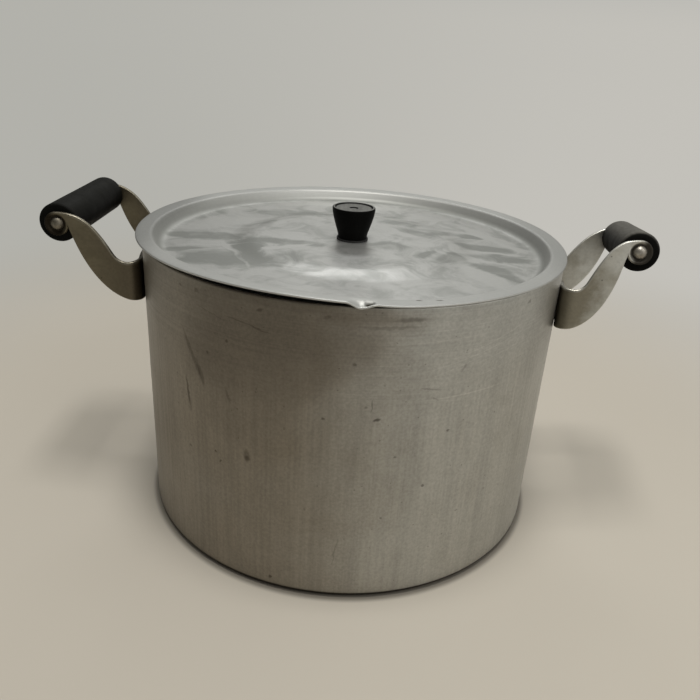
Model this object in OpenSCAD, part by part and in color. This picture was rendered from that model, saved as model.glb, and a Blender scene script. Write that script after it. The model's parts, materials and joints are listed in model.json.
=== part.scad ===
// Aluminium stock pot with a lift-off lid and two side handles.
// Millimetres, +Z up. The origin is the middle of the base, on the floor.
// The handles stand out along -X (left) and +X (right).

/* [Pot] */
// Outside diameter of the pot
pot_d = 260; // [220:5:320]
// Height from the floor to the rim
pot_h = 178; // [170:1:240]
// Thickness of the side wall
wall_t = 2.5; // [2:0.1:3.5]
// Thickness of the base
base_t = 3.5; // [3:0.1:5]
// Outside radius where the wall turns into the base
heel_r = 4; // [3.5:0.5:8]

/* [Lid] */
// How far the lid's edge stands out past the wall
lid_overhang = 3; // [1:0.5:4]
// Thickness of the lid sheet
lid_t = 1.2; // [1:0.1:1.6]
// Width of the flat flange that rests on the rim
flange_w = 8; // [7:0.5:10]
// How steeply the step goes down from the flange, in degrees
step_slope = 60; // [45:1:65]
// Radius of the bend at the foot of the step
foot_r = 6; // [3:0.5:7]
// Depth of the dish below the flange
dish_depth = 7.5; // [6:0.5:10]
// Radius of the raised, flat middle of the lid
crown_r = 60; // [40:1:68]
// Width of the slope between the raised middle and the dish
crown_slope = 19; // [12:1:22]
// Height of the raised middle above the dish
crown_h = 2.2; // [1:0.1:4]
// How far the loose lid lies to the right of the pot's middle
lid_x = -1.2; // [-2:0.1:2]
// How far the loose lid lies behind the pot's middle
lid_y = 2; // [-2.5:0.1:2.5]

/* [Knob] */
// Diameter of the knob's top
knob_d = 27.2; // [24:0.2:32]
// Diameter of the knob's neck
knob_neck_d = 18.6; // [16:0.2:20]
// Height of the knob above its collar
knob_h = 19.6; // [18:0.2:24]
// Diameter of the screw through the lid
screw_d = 5; // [4:0.5:5]

/* [Handles] */
// Distance from the pot's wall to the axis of the grip
reach = 41.2; // [36:0.2:50]
// Height of the grip's axis above the rim
grip_rise = 6.5; // [4:0.5:12]
// Length of the grip
grip_len = 81; // [70:1:95]
// Diameter of the grip
grip_d = 22.6; // [20:0.2:26]
// Diameter of the rod through the grip
rod_d = 5; // [4:0.5:6]
// Thickness of the bracket's sheet
strap_t = 2.5; // [2:0.1:3]
// Height of the bracket where it lies on the wall
plate_h = 24; // [22:0.5:28]
// Diameter of the rivets
rivet_d = 5; // [4:0.5:5]

/* [Right handle, knocked askew] */
// How far the right handle has crept round the wall, in degrees
right_turn = -5; // [-8:0.5:0]
// How far the right handle has twisted on the wall, in degrees
right_twist = -8.5; // [-10:0.5:0]
// How far the right handle's ears are bent up, in degrees
right_lift = 5; // [0:0.5:6]
// How far the right handle sits below the left one
right_drop = 3; // [0:0.5:4]
// How far the tip of the right handle's front ear is pushed out from the wall
right_front_push = -3.4; // [-4:0.2:0]
// How far the tip of the right handle's rear ear is pushed out from the wall
right_rear_push = 7.8; // [0:0.2:8]

/* [Hidden] */
$fn = 96;

// Fits: tight is a fixed joint, run is a turning one, seat is one piece resting on another
tight = 0.05;
run = 0.08;
seat = 0.05;

pot_r = pot_d / 2;
bore_r = pot_r - wall_t;
rim_round = 0.9;

// Lid levels
flange_z = pot_h + seat + lid_t;
dish_z = flange_z - dish_depth;
crown_z = dish_z + crown_h;
lid_r = pot_r + lid_overhang;
step_r = lid_r - flange_w;
bend_r = 1.5;

// Knob
collar_t = 1.2;
collar_r = knob_neck_d / 2 + 0.7;
knob_base = crown_z + collar_t;
knob_top = knob_base + knob_h;
insert_len = 11;
insert_r = 3.6;
washer_t = 1;
washer_r = 6.5;
screw_head_h = 2.8;
screw_head_r = 4.6;

// Handle bracket: a strap bent into a U, with a plate on the wall and an ear at each end
ear_gap = 0.5;
ear_in = grip_len / 2 + ear_gap;
ear_out = ear_in + strap_t;
strap_bend = 5.5;
plate_in = pot_r + tight;
bend_y = ear_in - strap_bend;
bend_x = sqrt(pow(plate_in + strap_t + strap_bend, 2) - pow(bend_y, 2));
bend_turn = atan2(bend_y, bend_x);
plate_z = pot_h - 38;
plate_mid = plate_z + plate_h / 2;
rod_x = pot_r + reach;
rod_z = pot_h + grip_rise;
rise = rod_z - plate_z;
tip_r = 6.9;
dish_r = 5.9;
dish_floor_r = 4.3;
dish_cut = 1.1;
head_r = 3.8;
head_h = 2.2;

// How a handle's ears are bent: up in degrees, then how far the front and the rear tip are pushed out
straight = [0, 0, 0];
right_bend = [right_lift, right_front_push, right_rear_push];

// Rivets
rivet_y = 24;
rivet_dz = 5.5;
rivet_head_r = 4.5;
rivet_head_h = 2;
rivet_back_r = 4.2;
rivet_back_h = 1.2;

function arc(c, r, from, to, n) =
    [for (i = [0 : n]) c + r * [cos(from + (to - from) * i / n), sin(from + (to - from) * i / n)]];

function curve(a, b, c, d, n) =
    [for (i = [0 : n]) let (t = i / n, s = 1 - t)
        s * s * s * a + 3 * s * s * t * b + 3 * s * t * t * c + t * t * t * d];

function turned(p, angle) = [p[0] * cos(angle) - p[1] * sin(angle), p[0] * sin(angle) + p[1] * cos(angle)];

// A point on the ear, as fractions of its reach and rise from the plate's lower edge
function ear_at(fx, fz) = [pot_r + fx * reach, plate_z + fz * rise];

// Side view of an ear: a hollow upper edge, a round tip and a bowed lower edge
function ear_side() = concat(
    curve(ear_at(-0.24, 0.63), ear_at(-0.11, 0.55), ear_at(0.14, 0.45), ear_at(0.26, 0.65), 10),
    curve(ear_at(0.26, 0.65), ear_at(0.45, 0.95),
        [rod_x - 16, rod_z + tip_r + 0.4], [rod_x, rod_z + tip_r], 12),
    arc([rod_x, rod_z], tip_r, 82, -180, 24),
    curve([rod_x - tip_r, rod_z], [rod_x - 8, rod_z - 8], ear_at(0.5, -0.12), ear_at(-0.24, 0), 16)
);

// 0 before start and 1 past end
function share(x, start, end) = min(1, max(0, (x - start) / (end - start)));

// Bends an ear up about its root and pushes its tip out, keeping the root and the shape of the tip
function bent(p, lift, push) =
    let (root = [pot_r, plate_mid], tip = rod_x - tip_r - 1)
    root + turned(p - root, lift * share(p[0], pot_r, tip)) + [push * share(p[0], bend_x, tip), 0];

// How far the rod is turned away from square with the ears
function skew(bend) = atan2(bend[2] - bend[1], ear_in + ear_out);

// Puts a handle on the wall: turned round the pot, twisted on the wall, then dropped
module on_wall(turn, twist, drop) {
    rotate([0, 0, turn])
        translate([0, 0, plate_mid - drop])
            rotate([twist, 0, 0])
                translate([0, 0, -plate_mid])
                    children();
}

// Puts a child at the middle of the rod, with +Z along the rod towards the rear
module on_rod(bend) {
    p = bent([rod_x, rod_z], bend[0], (bend[1] + bend[2]) / 2);
    translate([p[0], 0, p[1]])
        rotate([0, 0, -skew(bend)])
            rotate([-90, 0, 0])
                children();
}

// How far round the wall a rivet sits, once its handle is twisted
function across(y, z, twist) = y * cos(twist) - z * sin(twist);

// Puts a child on the wall at a rivet, with +Z pointing straight out of the pot
module at_rivet(turn, twist, drop, y, z) {
    up = y * sin(twist) + z * cos(twist);
    rotate([0, 0, turn + asin(across(y, z, twist) / pot_r)])
        translate([0, 0, plate_mid - drop + up])
            rotate([0, 90, 0])
                children();
}

// A shallow dome standing on z = 0
module dome(r, h) {
    ball_r = (r * r + h * h) / (2 * h);
    intersection() {
        translate([0, 0, h - ball_r]) sphere(r = ball_r);
        cylinder(r = r, h = h);
    }
}

// An arc without its two end points, to go between arcs that have them
function between(points) = [for (i = [1 : len(points) - 2]) points[i]];

// Plan view of the strap, walked along its outside and back along its inside
module strap_plan() {
    far = rod_x + 20;
    front = [bend_x, -bend_y];
    rear = [bend_x, bend_y];
    inward = 180 - bend_turn;
    outline = concat(
        [[far, -ear_out]],
        arc(front, strap_bend + strap_t, 270, inward, 8),
        between(arc([0, 0], plate_in, -bend_turn, bend_turn, 20)),
        arc(rear, strap_bend + strap_t, 360 - inward, 90, 8),
        [[far, ear_out], [far, ear_in]],
        arc(rear, strap_bend, 90, 360 - inward, 8),
        between(arc([0, 0], plate_in + strap_t, bend_turn, -bend_turn, 20)),
        arc(front, strap_bend, inward, 270, 8),
        [[far, -ear_in]]
    );
    polygon(outline);
}

// The strap cut to the side view of its ears, one half for the front ear and one for the rear
module bracket_shape(bend) {
    lap = 1;
    floor_at = ear_out / cos(skew(bend)) - dish_cut;
    difference() {
        intersection() {
            translate([0, 0, plate_z - 20]) linear_extrude(rise + 60) strap_plan();
            for (end = [0, 1])
                mirror([0, end, 0])
                    translate([0, lap, 0])
                        rotate([90, 0, 0])
                            linear_extrude(ear_out + 2 * lap)
                                polygon([for (p = ear_side()) bent(p, bend[0], bend[1 + end])]);
        }
        on_rod(bend)
            for (end = [0, 1])
                mirror([0, 0, end]) {
                    translate([0, 0, ear_in - 5]) cylinder(r = rod_d / 2 + tight, h = 10);
                    translate([0, 0, floor_at])
                        cylinder(r1 = dish_floor_r, r2 = dish_r, h = dish_cut + 0.01);
                    translate([0, 0, floor_at + dish_cut]) cylinder(r = dish_r, h = 2);
                }
    }
}

// A bracket on the wall, with its back shaped to the wall and its rivet holes drilled
module bracket(turn, twist, drop, bend) {
    difference() {
        on_wall(turn, twist, drop) bracket_shape(bend);
        translate([0, 0, plate_z - 40]) cylinder(r = plate_in, h = rise + 120, $fn = 180);
        rivet_shanks(turn, twist, drop, rivet_d / 2 + tight);
    }
}

module rivet_shanks(turn, twist, drop, r) {
    for (y = [-rivet_y, rivet_y], z = [-rivet_dz, rivet_dz])
        at_rivet(turn, twist, drop, y, z)
            translate([0, 0, bore_r - 8]) cylinder(r = r, h = wall_t + strap_t + 16);
}

// The head clears the plate, which leans a little under it where the handle is twisted
module rivet(turn, twist, drop, y, z) {
    lean = rivet_head_r * sin(abs(twist)) * rivet_y / pot_r;
    outer = sqrt(pow(plate_in + strap_t, 2) - y * y + pow(across(y, z, twist), 2)) + tight + lean;
    inner = sqrt(bore_r * bore_r - rivet_back_r * rivet_back_r) - tight;
    at_rivet(turn, twist, drop, y, z) {
        translate([0, 0, inner - rivet_back_h / 2])
            cylinder(r = rivet_d / 2, h = outer - inner + (rivet_back_h + rivet_head_h) / 2);
        translate([0, 0, outer]) dome(rivet_head_r, rivet_head_h);
        translate([0, 0, inner - rivet_back_h]) cylinder(r = rivet_back_r, h = rivet_back_h);
    }
}

module rod(bend) {
    seat_z = ear_out / cos(skew(bend)) - dish_cut + tight;
    on_rod(bend) {
        translate([0, 0, -seat_z]) cylinder(r = rod_d / 2, h = 2 * seat_z);
        for (end = [0, 1])
            mirror([0, 0, end])
                translate([0, 0, seat_z]) dome(head_r, head_h);
    }
}

// A grip on a skewed rod is shorter, so that the rims of its ends clear the ears
module grip(bend) {
    edge = 1.4;
    half = (grip_len / 2 - grip_d / 2 * sin(skew(bend))) / cos(skew(bend));
    outline = concat(
        [[rod_d / 2 + run, -half]],
        arc([grip_d / 2 - edge, -half + edge], edge, -90, 0, 5),
        arc([grip_d / 2 - edge, half - edge], edge, 0, 90, 5),
        [[rod_d / 2 + run, half]]
    );
    on_rod(bend) rotate_extrude() polygon(outline);
}

module left_side() {
    rotate([0, 0, 180]) children();
}

module pot_body() {
    inner_heel = heel_r - wall_t;
    outline = concat(
        [[0, 0]],
        arc([pot_r - heel_r, heel_r], heel_r, -90, 0, 8),
        arc([pot_r - rim_round, pot_h - rim_round], rim_round, 0, 90, 4),
        arc([bore_r + rim_round, pot_h - rim_round], rim_round, 90, 180, 4),
        arc([bore_r - inner_heel, base_t + inner_heel], inner_heel, 0, -90, 8),
        [[0, base_t]]
    );
    color([0.52, 0.50, 0.47])
        difference() {
            rotate_extrude($fn = 180) polygon(outline);
            left_side() rivet_shanks(0, 0, 0, rivet_d / 2 + tight);
            rivet_shanks(right_turn, right_twist, right_drop, rivet_d / 2 + tight);
        }
}

// Puts the lid and its knob where the lid lies on the pot
module on_rim() {
    translate([lid_x, lid_y, 0]) children();
}

// Half section of the lid: flange, sloping step, dish and raised middle
module lid_section() {
    hole_r = screw_d / 2 + 0.2;
    outer_bend = bend_r + lid_t;
    shoulder = [step_r, flange_z - outer_bend];
    bends = outer_bend + foot_r;
    run = (dish_depth - bends * (1 - cos(step_slope))) / tan(step_slope);
    foot = [step_r - bends * sin(step_slope) - run, dish_z + foot_r];
    slope_out = crown_r + crown_slope;
    third = crown_slope / 3;
    edge = lid_t / 2;
    upper = concat(
        arc([lid_r - edge, flange_z - edge], edge, 0, 90, 4),
        arc(shoulder, outer_bend, 90, 90 + step_slope, 6),
        arc(foot, foot_r, step_slope - 90, -90, 8),
        curve([slope_out, dish_z], [slope_out - third, dish_z],
            [crown_r + third, crown_z], [crown_r, crown_z], 8),
        [[hole_r, crown_z]]
    );
    lower = concat(
        [[hole_r, crown_z - lid_t]],
        curve([crown_r, crown_z], [crown_r + third, crown_z],
            [slope_out - third, dish_z], [slope_out, dish_z], 8) + [for (i = [0 : 8]) [0, -lid_t]],
        arc(foot, foot_r + lid_t, -90, step_slope - 90, 8),
        arc(shoulder, bend_r, 90 + step_slope, 90, 6),
        arc([lid_r - edge, flange_z - edge], edge, -90, 0, 4)
    );
    polygon(concat(upper, lower));
}

module lid_panel() {
    color([0.68, 0.69, 0.68]) on_rim() rotate_extrude($fn = 180) lid_section();
}

module lid_knob() {
    neck_r = knob_neck_d / 2;
    top_r = knob_d / 2;
    edge = 0.7;
    top_dish = 0.8;
    mark_r = 2.6;
    mark_depth = 0.8;
    outline = concat(
        [[0, knob_base]],
        [[neck_r, knob_base]],
        curve([neck_r, knob_base + 0.1 * knob_h], [neck_r + 1.4, knob_base + 0.35 * knob_h],
            [top_r - 0.2, knob_base + 0.7 * knob_h], [top_r, knob_top - edge], 12),
        arc([top_r - edge, knob_top - edge], edge, 0, 90, 4),
        [[top_r - 1.3, knob_top], [top_r - 2.1, knob_top - top_dish]],
        [[mark_r + 0.3, knob_top - top_dish], [mark_r, knob_top - top_dish - mark_depth]],
        [[0, knob_top - top_dish - mark_depth]]
    );
    color([0.06, 0.06, 0.06])
        on_rim()
            difference() {
                rotate_extrude() polygon(outline);
                translate([0, 0, knob_base - 1])
                    cylinder(r = insert_r + tight, h = insert_len + 1 + tight);
            }
}

module knob_collar() {
    color([0.05, 0.05, 0.05])
        on_rim() translate([0, 0, crown_z])
            difference() {
                cylinder(r = collar_r, h = collar_t);
                translate([0, 0, -1]) cylinder(r = screw_d / 2 + 0.2, h = collar_t + 2);
            }
}

module knob_insert() {
    color([0.72, 0.58, 0.30])
        on_rim() translate([0, 0, knob_base])
            difference() {
                cylinder(r = insert_r, h = insert_len);
                translate([0, 0, -1]) cylinder(r = screw_d / 2 + tight, h = insert_len);
            }
}

module knob_screw() {
    head_top = crown_z - lid_t - washer_t;
    color([0.62, 0.62, 0.60]) on_rim() {
        translate([0, 0, head_top])
            cylinder(r = screw_d / 2, h = lid_t + washer_t + collar_t + insert_len - 2);
        difference() {
            translate([0, 0, head_top]) mirror([0, 0, 1]) dome(screw_head_r, screw_head_h);
            translate([-screw_head_r, -0.6, head_top - screw_head_h - 1])
                cube([2 * screw_head_r, 1.2, 2.2]);
        }
    }
}

module screw_washer() {
    color([0.60, 0.60, 0.58])
        on_rim() translate([0, 0, crown_z - lid_t - washer_t])
            difference() {
                cylinder(r = washer_r, h = washer_t);
                translate([0, 0, -1]) cylinder(r = screw_d / 2 + 0.2, h = washer_t + 2);
            }
}

module left_bracket() {
    color([0.36, 0.32, 0.27]) left_side() bracket(0, 0, 0, straight);
}

module left_rod() {
    color([0.50, 0.48, 0.44]) left_side() rod(straight);
}

module left_grip() {
    color([0.07, 0.07, 0.07]) left_side() grip(straight);
}

// The left side is turned half round, so its rear is the drawn handle's front
module left_rivet(y, z) {
    color([0.45, 0.42, 0.38]) left_side() rivet(0, 0, 0, -y, z);
}

module right_bracket() {
    color([0.52, 0.50, 0.45]) bracket(right_turn, right_twist, right_drop, right_bend);
}

module right_rod() {
    color([0.55, 0.53, 0.49]) on_wall(right_turn, right_twist, right_drop) rod(right_bend);
}

module right_grip() {
    color([0.09, 0.09, 0.09]) on_wall(right_turn, right_twist, right_drop) grip(right_bend);
}

module right_rivet(y, z) {
    color([0.50, 0.48, 0.44]) rivet(right_turn, right_twist, right_drop, y, z);
}

pot_body();
left_bracket();
left_rod();
left_grip();
left_rivet(-rivet_y, rivet_dz);  // left_rivet_upper_front
left_rivet(rivet_y, rivet_dz);  // left_rivet_upper_rear
left_rivet(-rivet_y, -rivet_dz);  // left_rivet_lower_front
left_rivet(rivet_y, -rivet_dz);  // left_rivet_lower_rear
right_bracket();
right_rod();
right_grip();
right_rivet(-rivet_y, rivet_dz);  // right_rivet_upper_front
right_rivet(rivet_y, rivet_dz);  // right_rivet_upper_rear
right_rivet(-rivet_y, -rivet_dz);  // right_rivet_lower_front
right_rivet(rivet_y, -rivet_dz);  // right_rivet_lower_rear
lid_panel();
lid_knob();
knob_collar();
knob_insert();
knob_screw();
screw_washer();
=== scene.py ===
import json
import math

import bmesh
import bpy
from mathutils import Matrix, Vector, noise


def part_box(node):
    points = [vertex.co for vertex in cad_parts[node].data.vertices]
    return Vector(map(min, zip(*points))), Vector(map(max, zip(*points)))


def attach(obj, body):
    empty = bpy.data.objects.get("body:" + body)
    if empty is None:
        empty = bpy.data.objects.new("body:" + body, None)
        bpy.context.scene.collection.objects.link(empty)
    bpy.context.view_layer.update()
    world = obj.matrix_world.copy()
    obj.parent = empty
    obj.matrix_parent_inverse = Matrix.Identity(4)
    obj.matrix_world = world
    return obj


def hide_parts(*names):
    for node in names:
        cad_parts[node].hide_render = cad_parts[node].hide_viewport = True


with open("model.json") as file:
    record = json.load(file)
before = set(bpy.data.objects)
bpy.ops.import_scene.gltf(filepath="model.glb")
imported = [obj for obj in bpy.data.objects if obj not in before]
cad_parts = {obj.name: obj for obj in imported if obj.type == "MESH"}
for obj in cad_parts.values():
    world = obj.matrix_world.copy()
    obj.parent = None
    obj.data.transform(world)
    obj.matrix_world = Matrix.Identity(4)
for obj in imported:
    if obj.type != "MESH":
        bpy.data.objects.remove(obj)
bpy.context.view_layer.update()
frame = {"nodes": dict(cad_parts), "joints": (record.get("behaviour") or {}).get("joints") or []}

# A worn aluminium stock pot with a lift-off lid and two side handles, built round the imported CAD.
# Metres, +Z up, the origin at the middle of the base. Most lengths are written as millimetres * MM.
MM = 0.001

# Sizes read from the frame
pot_low, pot_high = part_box("pot_body")
lid_low, lid_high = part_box("lid_panel")
knob_low, knob_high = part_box("lid_knob")
grip_low, grip_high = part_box("left_grip")
POT_R = (pot_high[0] - pot_low[0]) / 2
POT_H = pot_high[2]
LID_R = (lid_high[0] - lid_low[0]) / 2
LID_X, LID_Y = [(lid_low[k] + lid_high[k]) / 2 for k in (0, 1)]
FLANGE_Z = lid_high[2]
KNOB_BASE, KNOB_TOP = knob_low[2], knob_high[2]
KNOB_R = (knob_high[0] - knob_low[0]) / 2
GRIP_R = (grip_high[0] - grip_low[0]) / 2
HINGES = {j["child"]: j for j in frame["joints"] if j["type"] == "hinge"}

# Sizes of the pot and the lid, as drawn in the CAD
WALL = 2.5 * MM
BASE_T = 3.5 * MM
HEEL_R = 4 * MM
RIM_ROUND = 0.9 * MM
LID_T = 1.2 * MM
FLANGE_W = 8 * MM
STEP_SLOPE = 60
STEP_FOOT_R = 6 * MM
DISH_DEPTH = 7.5 * MM
CROWN_R = 60 * MM
CROWN_SLOPE = 19 * MM
CROWN_H = 2.2 * MM
SCREW_HOLE_R = 2.7 * MM
NECK_R = 9.3 * MM

# Sizes of the handles
REACH = 41.2 * MM
ROD_X = POT_R + REACH
ROD_Z = POT_H + 6.5 * MM
PLATE_Z = POT_H - 38 * MM
PLATE_H = 24 * MM
PLATE_MID = PLATE_Z + PLATE_H / 2
RISE = ROD_Z - PLATE_Z
STRAP_T = 2.5 * MM
STRAP_BEND = 5.5 * MM
PLATE_IN = POT_R + 0.05 * MM
EAR_IN = 41 * MM
EAR_MID = EAR_IN + STRAP_T / 2
STRAP_EDGE = 0.75 * MM
BEND_Y = EAR_IN - STRAP_BEND
BEND_X = math.sqrt((PLATE_IN + STRAP_T + STRAP_BEND) ** 2 - BEND_Y ** 2)
TIP_R = 6.9 * MM
TIP_X = ROD_X - TIP_R - 1 * MM
DISH_R, DISH_FLOOR_R, DISH_CUT = 5.9 * MM, 4.3 * MM, 1.1 * MM
ROD_BORE_R = 2.58 * MM

# How many steps the turned forms have: the pot, the lid, and the knob, grips and floor. The lid has
# finer steps within so many degrees of its knock.
POT_STEPS, LID_STEPS, SMALL_STEPS = 288, 220, 96
KNOCK_SPAN, KNOCK_STEPS = 7, 64

# How far the pot's wall waves in and out
BROAD_WAVE, FINE_WAVE = 0.22 * MM, 0.09 * MM
# How far the grips' surface is worn in
GRIP_WEAR = 0.05 * MM

# Each handle: half turn, turn round the wall, twist on the wall and drop, in degrees and metres
PLACES = {
    "left": dict(side=180, turn=0, twist=0, drop=0),
    "right": dict(side=0, turn=-5, twist=-8.5, drop=3 * MM),
}
# How its ears are bent: up in degrees, then how far the front and the rear tip are pushed out
BENDS = {"left": (0, 0, 0), "right": (5, -3.4 * MM, 7.8 * MM)}

# The lid's edge is turned up a little nearly all round, and sprung up more at the front left. Places
# round the lid and spreads are in degrees.
EDGE_RISE, EDGE_W = 0.5 * MM, 12 * MM
WARP_TURN, WARP_SPREAD, WARP_RISE, WARP_FROM_R = -114, 65, 2.1 * MM, 60 * MM
# The spring ends just right of the knock, and from there the edge lies almost flat on the rim
SPRING_FROM, SPRING_TO = -89, -75
FLAT_TURN, FLAT_SPREAD, FLAT_FADE, FLATNESS = -43, 38, 22, 0.9
# How far the sheet waves inside the flange
SAG = 0.12 * MM
# The knock on the lid's front edge: its place round the lid, how far it is folded down, and the depth
# of the torn pocket and of the crumpled sheet round it
KNOCK_TURN, KNOCK_DEPTH, POCKET_DEPTH, CRUMPLE = -86.9, 2.3 * MM, 1.1 * MM, 0.3 * MM

# The seed of the noise that makes the wall's broad patches ragged, so that every run is the same
SEED = 2
noise.seed_set(SEED)


# ---------------------------------------------------------------- outlines and meshes

def arc(x, z, r, start, end, n):
    """n + 1 points on a circle of radius r about (x, z), between two angles in degrees."""
    angles = [math.radians(start + (end - start) * i / n) for i in range(n + 1)]
    return [(x + r * math.cos(a), z + r * math.sin(a)) for a in angles]


def curve(a, b, c, d, n):
    """n + 1 points on the Bezier curve from a to d."""
    points = []
    for i in range(n + 1):
        t = i / n
        s = 1 - t
        k = (s * s * s, 3 * s * s * t, 3 * s * t * t, t * t * t)
        points.append(tuple(sum(w * p[axis] for w, p in zip(k, (a, b, c, d))) for axis in (0, 1)))
    return points


def smooth(x, low, high):
    """0 at low, 1 at high, easing at both ends. High may be the smaller."""
    t = min(1.0, max(0.0, (x - low) / (high - low)))
    return t * t * (3 - 2 * t)


def dense(points, step):
    """The same line with its long spans divided, so that it can be bent."""
    out = [points[0]]
    for p, q in zip(points, points[1:]):
        n = max(1, math.ceil(math.dist(p, q) / step))
        out += [tuple(p[k] + (q[k] - p[k]) * i / n for k in (0, 1)) for i in range(1, n + 1)]
    return out


def resample(points, n):
    """n + 1 points spaced evenly along a line."""
    run = [0.0]
    for p, q in zip(points, points[1:]):
        run.append(run[-1] + math.dist(p, q))
    out, k = [], 0
    for i in range(n + 1):
        want = run[-1] * i / n
        while k < len(points) - 2 and run[k + 1] < want:
            k += 1
        t = (want - run[k]) / max(1e-12, run[k + 1] - run[k])
        p, q = points[k], points[k + 1]
        out.append((p[0] + (q[0] - p[0]) * t, p[1] + (q[1] - p[1]) * t))
    return out


def height_at(points, x):
    """The height of a line that runs along X, at x."""
    for p, q in zip(points, points[1:]):
        if p[0] <= x <= q[0]:
            return p[1] + (q[1] - p[1]) * (x - p[0]) / max(1e-12, q[0] - p[0])
    return points[0][1] if x < points[0][0] else points[-1][1]


def make_mesh(name, verts, faces, sharp=35):
    """A smooth-shaded object, with the edges sharper than so many degrees left sharp."""
    mesh = bpy.data.meshes.new(name)
    mesh.from_pydata([tuple(v) for v in verts], [], faces)
    bm = bmesh.new()
    bm.from_mesh(mesh)
    bmesh.ops.recalc_face_normals(bm, faces=bm.faces)
    bm.to_mesh(mesh)
    bm.free()
    mesh.shade_smooth()
    mesh.set_sharp_from_angle(angle=math.radians(sharp))
    obj = bpy.data.objects.new(name, mesh)
    bpy.context.scene.collection.objects.link(obj)
    return obj


def bridge(rows, closed=False):
    """Quads between rings of vertex numbers. A ring of one number is a pole."""
    faces = []
    pairs = list(zip(rows, rows[1:])) + ([(rows[-1], rows[0])] if closed else [])
    for a, b in pairs:
        n = max(len(a), len(b))
        for i in range(n):
            j = (i + 1) % n
            if len(a) == 1:
                faces.append((a[0], b[i], b[j]))
            elif len(b) == 1:
                faces.append((a[i], b[0], a[j]))
            else:
                faces.append((a[i], b[i], b[j], a[j]))
    return faces


def lathe(name, profile, angles, shape=None, closed=False, place=None):
    """Turns a line of (radius, height) about +Z. shape moves each point of the turned form."""
    verts, rows = [], []
    for r, z in profile:
        ring = [0.0] if r < 1e-7 else angles
        rows.append(list(range(len(verts), len(verts) + len(ring))))
        for a in ring:
            p = Vector((r * math.cos(a), r * math.sin(a), z))
            verts.append(shape(p) if shape else p)
    if place:
        verts = [place @ v for v in verts]
    return make_mesh(name, verts, bridge(rows, closed))


def all_round(n, focus=None, spread=0, fine=0):
    """Angles round a turned form, in radians, closer together within spread degrees of focus."""
    angles = [360 * i / n - 180 for i in range(n)]
    if focus is not None:
        angles = [a for a in angles if abs(a - focus) > spread]
        angles += [focus - spread + 2 * spread * i / fine for i in range(fine + 1)]
    return [math.radians(a) for a in sorted(angles)]


# ---------------------------------------------------------------- materials

class Nodes:
    """A node tree, with short ways to add nodes to it."""

    def __init__(self, tree):
        self.tree = tree

    def feed(self, socket, value):
        if isinstance(value, bpy.types.NodeSocket):
            self.tree.links.new(value, socket)
        else:
            socket.default_value = value

    def add(self, kind, inputs=None, out=0, **props):
        node = self.tree.nodes.new(kind)
        for key, value in props.items():
            setattr(node, key, value)
        for key, value in (inputs or {}).items():
            self.feed(node.inputs[key], value)
        return node.outputs[out]

    def maths(self, operation, a, b=0.0, clamp=False):
        return self.add("ShaderNodeMath", {0: a, 1: b}, operation=operation, use_clamp=clamp)

    def vector(self, operation, a, b=(0, 0, 0), out=0):
        return self.add("ShaderNodeVectorMath", {0: a, 1: b}, out=out, operation=operation)

    def axes(self, vector):
        parts = self.add("ShaderNodeSeparateXYZ", {0: vector}).node.outputs
        return parts[0], parts[1], parts[2]

    def combine(self, x, y, z=0.0):
        return self.add("ShaderNodeCombineXYZ", {0: x, 1: y, 2: z})

    def mix(self, factor, a, b):
        a, b = [(*c, 1) if isinstance(c, tuple) else c for c in (a, b)]
        return self.add("ShaderNodeMix", {0: factor, 6: a, 7: b}, out=2, data_type="RGBA")

    def scale(self, colour, factor):
        """A colour made darker or lighter by a factor."""
        colour = (*colour, 1) if isinstance(colour, tuple) else colour
        return self.vector("MULTIPLY", colour, self.combine(factor, factor, factor))

    def step(self, value, start, end, low=0.0, high=1.0):
        """low before start, high past end, easing between them."""
        inputs = {0: value, 1: start, 2: end, 3: low, 4: high}
        return self.add("ShaderNodeMapRange", inputs, interpolation_type="SMOOTHSTEP")

    def noise(self, vector, scale, detail=2.0, rough=0.5, distortion=0.0):
        inputs = {"Vector": vector, "Scale": scale, "Detail": detail,
                  "Roughness": rough, "Distortion": distortion}
        return self.add("ShaderNodeTexNoise", inputs)

    def cells(self, vector, scale, out="Distance"):
        return self.add("ShaderNodeTexVoronoi", {"Vector": vector, "Scale": scale}, out=out)

    def spots(self, vector, scale, size, share):
        """Small round specks: 1 inside. share of the cells have one."""
        near = self.step(self.cells(vector, scale), size, size * 0.5)
        pick = self.axes(self.cells(vector, scale, out="Color"))[0]
        return self.maths("MULTIPLY", near, self.maths("LESS_THAN", pick, share))

    def marks(self, plane, marks, soft):
        """Adds up soft ovals on a plane: (x, y, length, width, turn, strength), in mm and degrees."""
        total = 0.0
        for x, y, length, width, turn, strength in marks:
            inputs = {
                "Vector": plane,
                "Location": (x * MM, y * MM, 0),
                "Rotation": (0, 0, math.radians(turn)),
                "Scale": (length / 2 * MM, width / 2 * MM, 1),
            }
            local = self.add("ShaderNodeMapping", inputs, vector_type="TEXTURE")
            away = self.vector("LENGTH", local, out=1)
            spot = self.step(away, 1 + soft, 1 - soft, 0.0, strength)
            total = self.maths("ADD", total, spot)
        return total

    def shaken(self, plane, scale, reach):
        """The plane with its points moved about by up to half of reach, in mm."""
        noise_colour = self.add("ShaderNodeTexNoise", {"Vector": plane, "Scale": scale}, out=1)
        middle = self.vector("SUBTRACT", noise_colour, (0.5, 0.5, 0.5))
        return self.vector("ADD", plane, self.vector("MULTIPLY", middle, [reach * MM] * 3))

    def attribute(self, name):
        """A number stored for each point of the piece, by mark_points()."""
        return self.add("ShaderNodeAttribute", out="Fac", attribute_name=name)

    def bump(self, height, distance, strength):
        return self.add("ShaderNodeBump", {"Height": height, "Distance": distance, "Strength": strength})


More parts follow.
